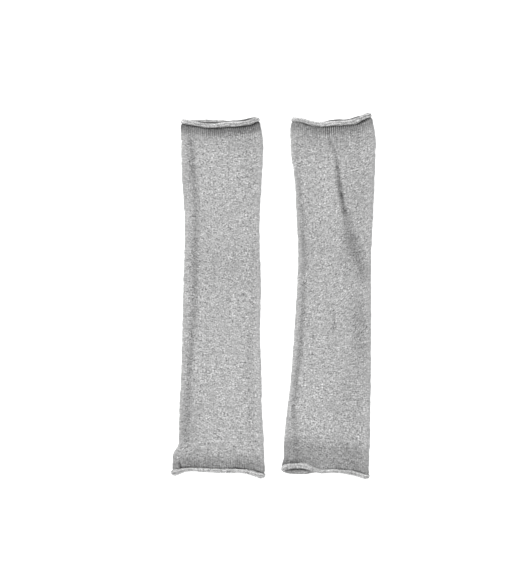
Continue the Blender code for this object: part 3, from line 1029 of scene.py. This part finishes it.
def cloth_colour(tree, stitch, offset):
    """The greys of the cloth, less the light that its form takes from it."""
    tone = heather_tone(tree, stitch, offset)
    tone = calculate(tree, "MULTIPLY", tone, number(tree, "light"))
    tone = calculate(tree, "MULTIPLY", tone, JERSEY_GREY)
    grey = calculate(tree, "MINIMUM", calculate(tree, "MAXIMUM", tone, DARKEST_FIBRE), LIGHTEST_FIBRE)
    colour = node(tree, "ShaderNodeCombineColor")
    for channel in colour.inputs:
        feed(tree, grey, channel)
    return colour.outputs["Color"]


def cloth_normal(tree, stitch, offset):
    """The cloth's normal, with its bump."""
    bump = node(tree, "ShaderNodeBump")
    bump.inputs["Strength"].default_value = 1.0
    bump.inputs["Distance"].default_value = KNIT_DEPTH * MM
    feed(tree, surface_height(tree, stitch, offset), bump.inputs["Height"])
    return bump.outputs["Normal"]


def jersey_material(name, offset):
    """Matte heather jersey: mottled greys, soft sheen, and fibres that break up its shading."""
    material = bpy.data.materials.new(name)
    material.use_nodes = True
    tree = material.node_tree
    shader = tree.nodes["Principled BSDF"]
    stitch = node(tree, "ShaderNodeUVMap", uv_map="Stitch").outputs["UV"]
    feed(tree, cloth_colour(tree, stitch, offset), shader.inputs["Base Color"])
    feed(tree, cloth_normal(tree, stitch, offset), shader.inputs["Normal"])
    shader.inputs["Roughness"].default_value = CLOTH_ROUGHNESS
    shader.inputs["Specular IOR Level"].default_value = CLOTH_SPECULAR
    shader.inputs["Sheen Weight"].default_value = SHEEN
    shader.inputs["Sheen Roughness"].default_value = SHEEN_ROUGHNESS
    return material


def middle_of_pair(walls):
    """Middle of the pair on the page, at the height of the floor, as the solids are centred."""
    points = np.concatenate([wall.points.reshape(-1, 3) for wall in walls])
    middle = (points.min(axis=0) + points.max(axis=0)) / 2
    return np.array((middle[0], middle[1], 0.0))


def add_leg_warmer(tube, wall, middle):
    """The finished tube in place of its solid."""
    mesh = wall_mesh(tube, wall, middle)
    mesh.materials.append(jersey_material(tube["name"] + "_jersey", float(tube["seed"])))
    piece = bpy.data.objects.new(tube["name"] + "_jersey", mesh)
    bpy.context.scene.collection.objects.link(piece)
    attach(piece, "root")
    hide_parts(tube["name"])


def add_floor():
    """A plain pale floor under the pair."""
    mesh = bpy.data.meshes.new("floor")
    half = FLOOR_SIZE / 2
    corners = [(-half, -half, 0), (half, -half, 0), (half, half, 0), (-half, half, 0)]
    mesh.from_pydata(corners, [], [(0, 1, 2, 3)])
    material = bpy.data.materials.new("floor_white")
    material.use_nodes = True
    shader = material.node_tree.nodes["Principled BSDF"]
    shader.inputs["Base Color"].default_value = (FLOOR_GREY, FLOOR_GREY, FLOOR_GREY, 1.0)
    shader.inputs["Roughness"].default_value = 1.0
    shader.inputs["Specular IOR Level"].default_value = 0.0
    shader.inputs["Emission Color"].default_value = (1.0, 1.0, 1.0, 1.0)
    shader.inputs["Emission Strength"].default_value = FLOOR_GLOW
    mesh.materials.append(material)
    floor = bpy.data.objects.new("floor", mesh)
    bpy.context.scene.collection.objects.link(floor)
    return floor


def add_light(name, place, size, power):
    """A soft square light that faces the middle of the pair."""
    light = bpy.data.lights.new(name, "AREA")
    light.size = size
    light.energy = power
    holder = bpy.data.objects.new(name, light)
    holder.location = place
    holder.rotation_euler = (-Vector(place)).to_track_quat("-Z", "Y").to_euler()
    bpy.context.scene.collection.objects.link(holder)


def add_studio():
    """Even white surroundings, and one large light from beyond the tops of the tubes, on the left."""
    world = bpy.data.worlds.new("studio")
    world.use_nodes = True
    background = world.node_tree.nodes["Background"]
    background.inputs["Color"].default_value = (1.0, 1.0, 1.0, 1.0)
    background.inputs["Strength"].default_value = WORLD_STRENGTH
    bpy.context.scene.world = world
    add_light("window", KEY_PLACE, KEY_SIZE, KEY_POWER)
    bpy.context.scene.view_settings.view_transform = "Standard"


def add_camera():
    """Straight down, with the photograph's framing at the height of the cloth."""
    camera = bpy.data.cameras.new("camera")
    camera.lens = camera.sensor_width * CAMERA_HEIGHT / (IMAGE_HEIGHT_PX * PIXEL_SIZE)
    holder = bpy.data.objects.new("camera", camera)
    across = (IMAGE_WIDTH_PX / 2 - PAIR_X_PX) * PIXEL_SIZE
    up = (PAIR_Y_PX - IMAGE_HEIGHT_PX / 2) * PIXEL_SIZE
    holder.location = (across, up, CLOTH_HEIGHT + CAMERA_HEIGHT)
    bpy.context.scene.collection.objects.link(holder)
    bpy.context.scene.camera = holder


def main():
    """The pair on its floor, lit and framed as in the photograph."""
    add_studio()
    add_camera()
    floor = add_floor()
    tubes = (LEFT_TUBE, RIGHT_TUBE)
    walls = [dressed_wall(tube, *wall_grid(tube)) for tube in tubes]
    middle = middle_of_pair(walls)
    for tube, wall in zip(tubes, walls):
        add_leg_warmer(tube, wall, middle)


main()
